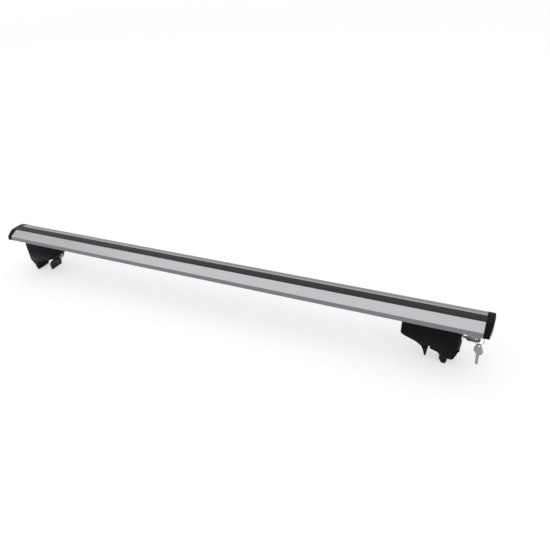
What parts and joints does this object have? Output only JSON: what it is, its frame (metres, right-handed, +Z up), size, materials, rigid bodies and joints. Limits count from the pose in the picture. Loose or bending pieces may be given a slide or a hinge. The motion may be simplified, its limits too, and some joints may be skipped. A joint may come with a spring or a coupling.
{
  "type": "roof rack crossbar",
  "caption": "Wing-section aluminium load bar on two lockable clamp feet that grip a car's raised side rails.",
  "frame": {"origin": "on the plane the claws stand on, under the middle of the bar's length and under the centre line of its slots, which is about 3 mm in front of the middle of its width", "axes": "+X along the bar towards its right end, +Y to the rear, +Z up"},
  "size_m": [1.3622, 0.083, 0.1257],
  "materials": {
    "anodised_bar": "satin anodised, drawn along the bar",
    "strip_rubber": "matt extruded rubber",
    "cap_plastic": "smooth moulded",
    "housing_plastic": "fine grained moulding",
    "claw_coated": "black powder coat",
    "pad_rubber": "matt",
    "zinc_steel": "bright zinc plate",
    "lock_metal": "nickel plated",
    "key_metal": "nickel plated brass, satin"
  },
  "bodies": {
    "bar": {"crossbar": "anodised_bar", "top_strip": "strip_rubber", "cap_left": "cap_plastic", "cap_right": "cap_plastic"},
    "foot_right": {"housing_right": "housing_plastic", "claw_right": "claw_coated", "claw_pad_right": "pad_rubber", "ceiling_pad_right": "pad_rubber", "slot_bolt_near_right": "zinc_steel", "slot_bolt_far_right": "zinc_steel", "slot_nut_near_right": "zinc_steel", "slot_nut_far_right": "zinc_steel", "cover_pin_right": "zinc_steel"},
    "hook_right": {"hook_right": "claw_coated", "hook_pad_right": "pad_rubber", "pull_plate_right": "claw_coated", "hook_nut_right": "zinc_steel"},
    "bolt_right": {"clamp_bolt_right": "zinc_steel"},
    "cover_right": {"cover_right": "housing_plastic", "barrel_right": "lock_metal"},
    "plug_right": {"plug_right": "lock_metal", "cam_right": "zinc_steel", "lock_key": "key_metal"},
    "foot_left": {"housing_left": "housing_plastic", "claw_left": "claw_coated", "claw_pad_left": "pad_rubber", "ceiling_pad_left": "pad_rubber", "slot_bolt_near_left": "zinc_steel", "slot_bolt_far_left": "zinc_steel", "slot_nut_near_left": "zinc_steel", "slot_nut_far_left": "zinc_steel", "cover_pin_left": "zinc_steel"},
    "hook_left": {"hook_left": "claw_coated", "hook_pad_left": "pad_rubber", "pull_plate_left": "claw_coated", "hook_nut_left": "zinc_steel"},
    "bolt_left": {"clamp_bolt_left": "zinc_steel"},
    "cover_left": {"cover_left": "housing_plastic", "barrel_left": "lock_metal"},
    "plug_left": {"plug_left": "lock_metal", "cam_left": "zinc_steel"},
    "ring": {"key_ring": "zinc_steel"},
    "spare": {"spare_key": "key_metal"}
  },
  "joints": [
    {"name": "foot_slide_right", "type": "slide", "parent": "bar", "child": "foot_right", "axis": [1, 0, 0], "range_m": [-0.15, 0.02]},
    {"name": "bolt_turn_right", "type": "hinge", "parent": "foot_right", "child": "bolt_right", "pos_m": [0.55, 0, 0.053], "axis": [1, 0, 0], "range_deg": [-3169, 2305]},
    {"name": "hook_slide_right", "type": "slide", "parent": "foot_right", "child": "hook_right", "axis": [1, 0, 0], "range_m": [-0.008, 0.011]},
    {"name": "cover_swing_right", "type": "hinge", "parent": "foot_right", "child": "cover_right", "pos_m": [0.6208, 0, 0.043], "axis": [0, 1, 0], "range_deg": [0, 70]},
    {"name": "lock_turn_right", "type": "hinge", "parent": "cover_right", "child": "plug_right", "pos_m": [0.625, -0.009, 0.075], "axis": [1, 0, 0], "range_deg": [0, 90]},
    {"name": "foot_slide_left", "type": "slide", "parent": "bar", "child": "foot_left", "axis": [1, 0, 0], "range_m": [-0.01, 0.16]},
    {"name": "bolt_turn_left", "type": "hinge", "parent": "foot_left", "child": "bolt_left", "pos_m": [-0.56, 0, 0.053], "axis": [1, 0, 0], "range_deg": [-1, 5473]},
    {"name": "hook_slide_left", "type": "slide", "parent": "foot_left", "child": "hook_left", "axis": [1, 0, 0], "range_m": [-0.019, 0]},
    {"name": "cover_swing_left", "type": "hinge", "parent": "foot_left", "child": "cover_left", "pos_m": [-0.6308, 0, 0.043], "axis": [0, -1, 0], "range_deg": [0, 70]},
    {"name": "lock_turn_left", "type": "hinge", "parent": "cover_left", "child": "plug_left", "pos_m": [-0.635, -0.009, 0.075], "axis": [1, 0, 0], "range_deg": [0, 90]},
    {"name": "ring_swing", "type": "hinge", "parent": "plug_right", "child": "ring", "pos_m": [0.6525, -0.009, 0.075], "axis": [0.9063, 0.4226, 0], "range_deg": [-22, 22]},
    {"name": "spare_key_swing", "type": "hinge", "parent": "ring", "child": "spare", "pos_m": [0.65894, -0.006, 0.0687], "axis": [-0.4226, 0.9063, 0], "range_deg": [-25, 25]}
  ],
  "couplings": [
    {"joint": "bolt_turn_right", "follows": "hook_slide_right", "rad_per_m": -5026.5},
    {"joint": "bolt_turn_left", "follows": "hook_slide_left", "rad_per_m": -5026.5}
  ]
}
